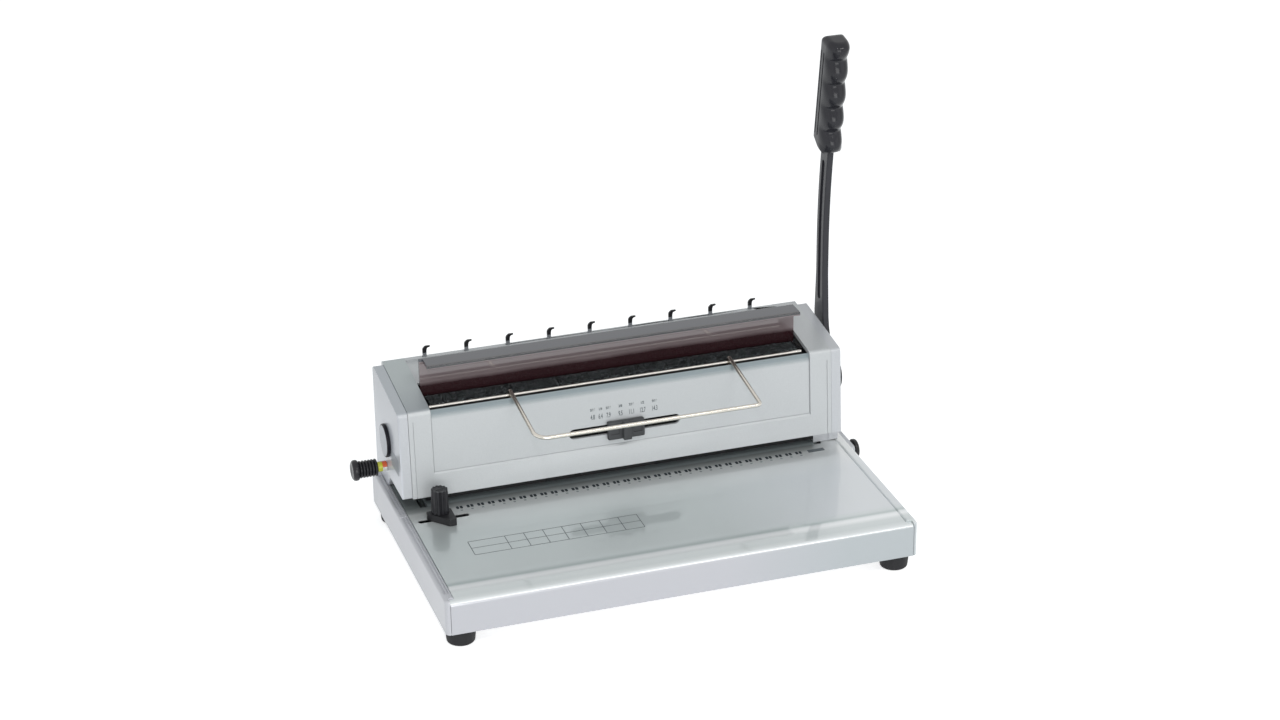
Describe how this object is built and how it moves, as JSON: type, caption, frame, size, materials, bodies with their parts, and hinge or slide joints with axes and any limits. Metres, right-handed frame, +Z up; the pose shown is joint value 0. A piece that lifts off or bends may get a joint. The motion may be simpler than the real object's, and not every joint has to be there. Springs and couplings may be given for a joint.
{
  "type": "wire binding machine",
  "caption": "Desktop punch and wire closer with a side pull handle, sheet throat, chip drawer, edge guide, size selector and wire bail.",
  "frame": {"origin": "bottom centre of the part's box, at the table under the feet", "axes": "+X along the punching throat towards the handle, +Y from the user to the rear, +Z up"},
  "size_m": [0.4112, 0.233, 0.3683],
  "materials": {
    "black_painted_steel": "satin",
    "black_plastic": "satin",
    "bronze": "machined",
    "dial": "satin",
    "foam": "rough",
    "gloss_black": "glossy",
    "gloss_silver": "glossy",
    "grip_plastic": "satin",
    "painted_silver": "satin",
    "rod_steel": "polished",
    "rubber": "matt",
    "silver_plastic": "satin",
    "smoked_jaw": "glossy",
    "steel": "machined"
  },
  "bodies": {
    "machine": {"base_cover": "gloss_silver", "base_pan": "steel", "closer_bed": "black_plastic", "closer_pad": "foam", "die_plate": "steel", "foot_front_left": "rubber", "foot_front_right": "rubber", "foot_rear_left": "rubber", "foot_rear_right": "rubber", "foot_screw_front_left": "steel", "foot_screw_front_right": "steel", "foot_screw_rear_left": "steel", "foot_screw_rear_right": "steel", "front_rod": "rod_steel", "handle_return_spring": "steel", "hook_strip": "black_painted_steel", "housing_cover": "painted_silver", "left_end_cap": "silver_plastic", "left_guide_post": "steel", "left_ram_spring": "steel", "left_shaft_bush": "bronze", "left_shaft_plug": "gloss_black", "left_side_frame": "steel", "left_side_rail": "silver_plastic", "punch_guide": "steel", "rear_tie_bar": "steel", "right_end_cap": "silver_plastic", "right_guide_post": "steel", "right_ram_spring": "steel", "right_shaft_bush": "bronze", "right_side_frame": "steel", "right_side_rail": "silver_plastic"},
    "handle": {"drive_shaft": "steel", "handle_arm": "black_painted_steel", "handle_grip": "grip_plastic", "handle_hub_screw": "steel", "left_closer_cam": "steel", "left_ram_cam": "steel", "right_closer_cam": "steel", "right_ram_cam": "steel"},
    "ram": {"punch_ram": "steel"},
    "closer": {"closer_jaw": "smoked_jaw", "left_closer_slide": "steel", "right_closer_slide": "steel"},
    "bail": {"wire_bail": "rod_steel"},
    "selector": {"selector_slider": "black_plastic", "selector_stop": "steel"},
    "edge_guide": {"edge_guide_block": "black_plastic", "edge_guide_clamp": "steel"},
    "edge_guide_knob": {"edge_guide_knob": "black_plastic"},
    "depth_control": {"depth_dial": "dial", "depth_knob": "black_plastic", "depth_rod": "steel", "left_depth_cam": "steel", "right_depth_cam": "steel"},
    "depth_gauge": {"depth_gauge": "steel"},
    "drawer": {"chip_drawer": "silver_plastic", "chip_drawer_knob": "black_plastic"}
  },
  "joints": [
    {"name": "handle_pull", "type": "hinge", "parent": "machine", "child": "handle", "pos_m": [0.003, 0.0735, 0.0825], "axis": [1, 0, 0], "range_deg": [0, 78], "stiffness_Nm_per_rad": 0.8, "springref_deg": -34.38},
    {"name": "punch_stroke", "type": "slide", "parent": "machine", "child": "ram", "axis": [0, 0, -1], "range_m": [0, 0.0096], "deforming": ["left_ram_spring", "right_ram_spring"]},
    {"name": "closer_stroke", "type": "slide", "parent": "machine", "child": "closer", "axis": [0, 0, -1], "range_m": [0, 0.0162]},
    {"name": "bail_swing", "type": "hinge", "parent": "machine", "child": "bail", "pos_m": [0.003, 0.0451, 0.1192], "axis": [1, 0, 0], "range_deg": [-100, 0]},
    {"name": "wire_size_slide", "type": "slide", "parent": "machine", "child": "selector", "axis": [1, 0, 0], "range_m": [-0.035, 0.035]},
    {"name": "edge_guide_slide", "type": "slide", "parent": "machine", "child": "edge_guide", "axis": [1, 0, 0], "range_m": [-0.0095, 0.015]},
    {"name": "edge_guide_clamp_turn", "type": "hinge", "parent": "edge_guide", "child": "edge_guide_knob", "pos_m": [-0.15275, 0.0115, 0.0466], "axis": [0, 0, 1], "range_deg": [0, 180]},
    {"name": "margin_depth_turn", "type": "hinge", "parent": "machine", "child": "depth_control", "pos_m": [-0.177, 0.0785, 0.058], "axis": [1, 0, 0], "range_deg": [0, 90.5]},
    {"name": "margin_depth_gauge", "type": "slide", "parent": "machine", "child": "depth_gauge", "axis": [0, -1, 0], "range_m": [0, 0.002]},
    {"name": "chip_drawer_slide", "type": "slide", "parent": "machine", "child": "drawer", "axis": [1, 0, 0], "range_m": [0, 0.2]}
  ],
  "couplings": [
    {"joint": "punch_stroke", "follows": "handle_pull", "m_per_rad": 0.0069783},
    {"joint": "closer_stroke", "follows": "handle_pull", "m_per_rad": 0.011753},
    {"joint": "margin_depth_turn", "follows": "margin_depth_gauge", "rad_per_m": 785.4}
  ]
}
